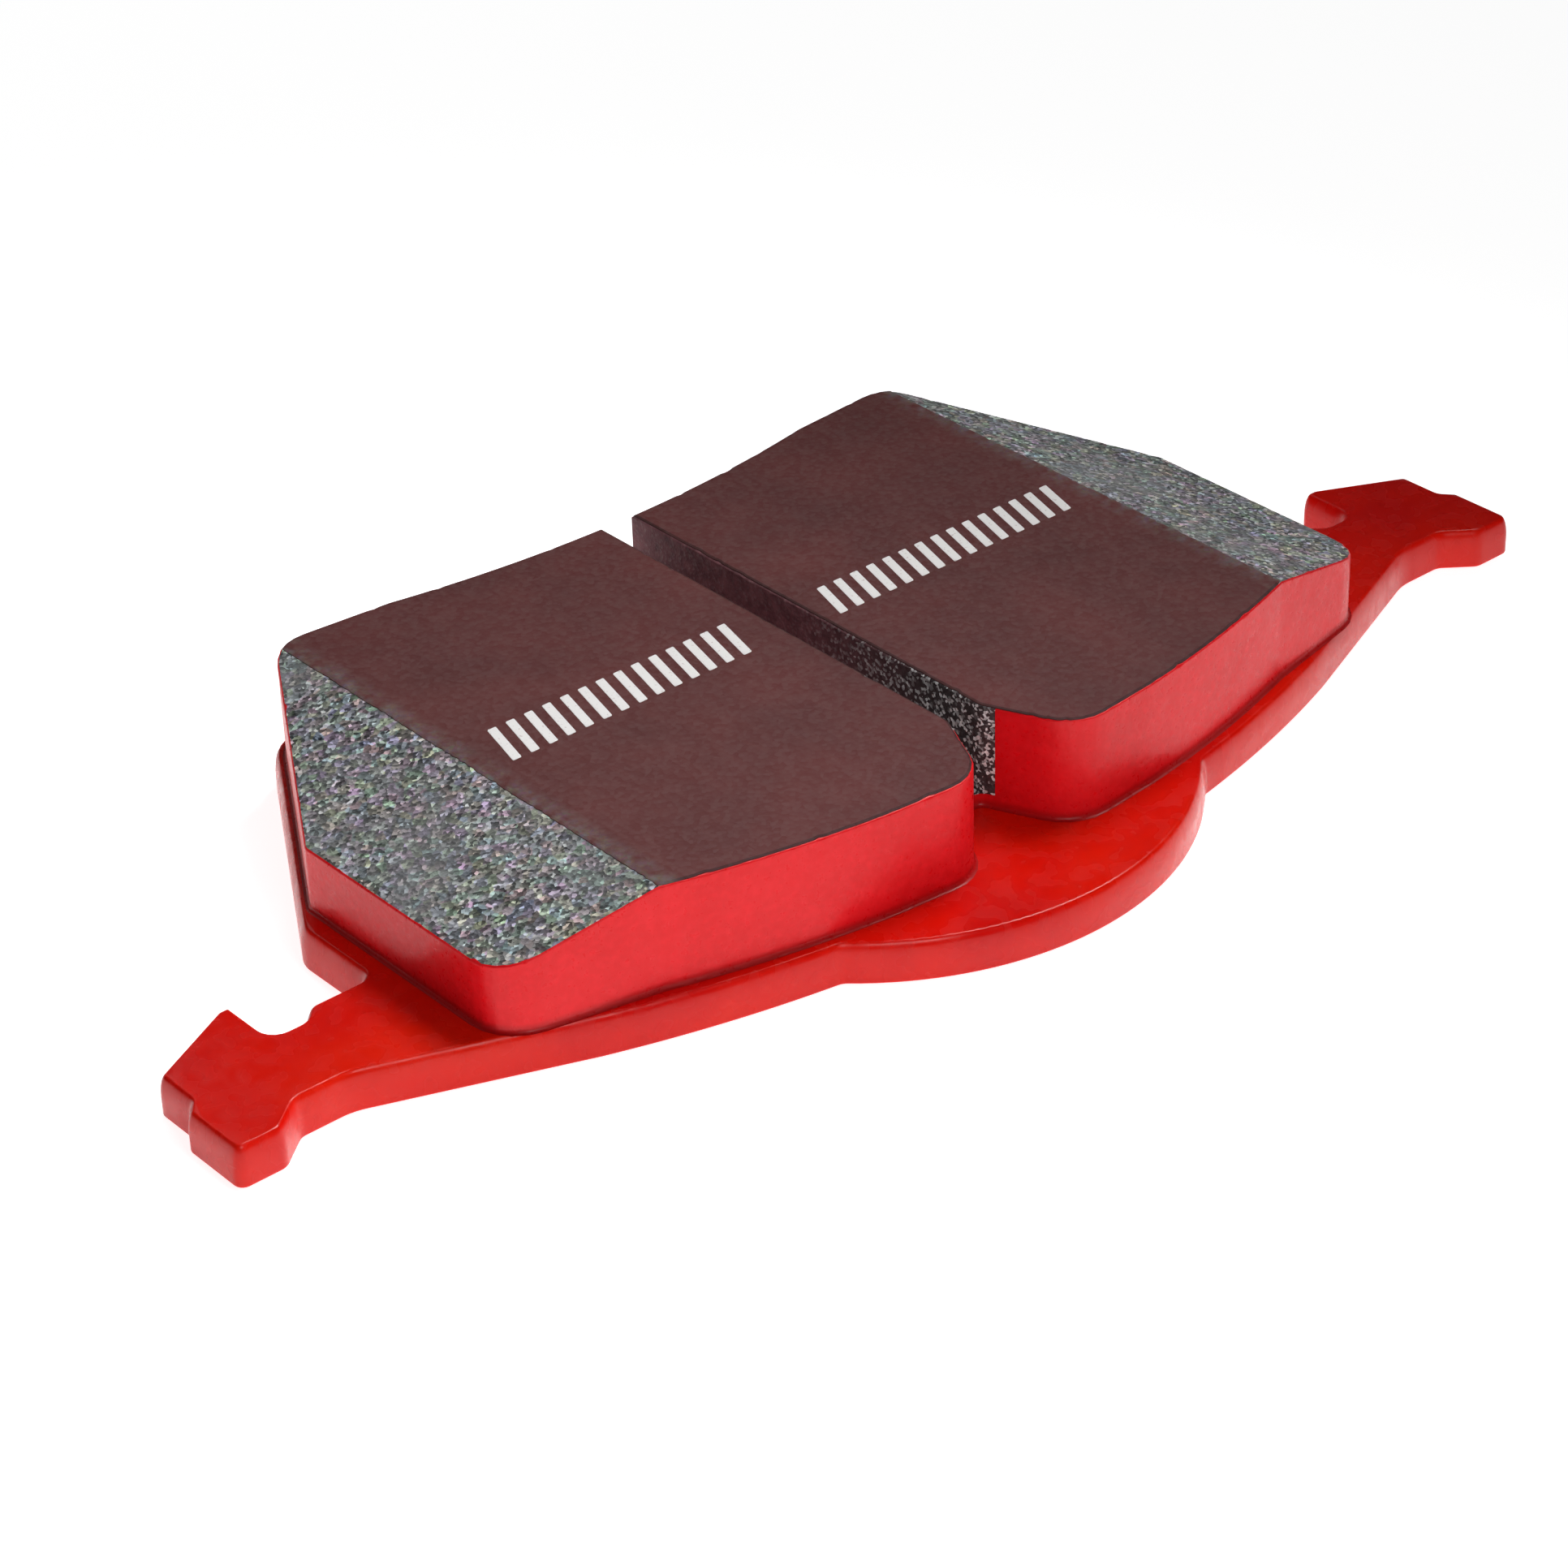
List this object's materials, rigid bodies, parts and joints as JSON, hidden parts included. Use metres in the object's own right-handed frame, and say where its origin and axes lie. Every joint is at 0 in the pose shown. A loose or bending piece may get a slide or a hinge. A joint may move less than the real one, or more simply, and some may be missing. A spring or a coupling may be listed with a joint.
{
  "type": "disc brake pad",
  "caption": "Disc brake pad: red painted backing plate with hammerhead ears and a rounded lobe, slotted friction block with long end ramps, dark bedding coat and a noise shim.",
  "frame": {"origin": "middle of the footprint, on the surface that the pad's shim lies on", "axes": "+X from ear to ear, +Y towards the disc's axis, +Z out of the friction face towards the disc"},
  "size_m": [0.1592, 0.073, 0.0158],
  "materials": {
    "plate_paint": "gloss red powder coat on steel",
    "underlayer_compound": "matte moulded compound, painted red at its edge",
    "friction_compound": "ground friction compound with bright and dark flecks",
    "break_in_coat": "matte dark red abrasive coat",
    "print_ink": "matte white printed ink",
    "shim_adhesive": "tacky damping adhesive",
    "shim_steel": "cold rolled sheet",
    "shim_rubber": "matte black rubber coat"
  },
  "bodies": {
    "root": {"backing_plate": "plate_paint", "underlayer": "underlayer_compound", "friction_block_left": "friction_compound", "friction_block_right": "friction_compound", "break_in_coat_left": "break_in_coat", "break_in_coat_right": "break_in_coat", "shim_adhesive": "shim_adhesive", "shim_core": "shim_steel", "shim_cover": "shim_rubber"}
  },
  "joints": []
}
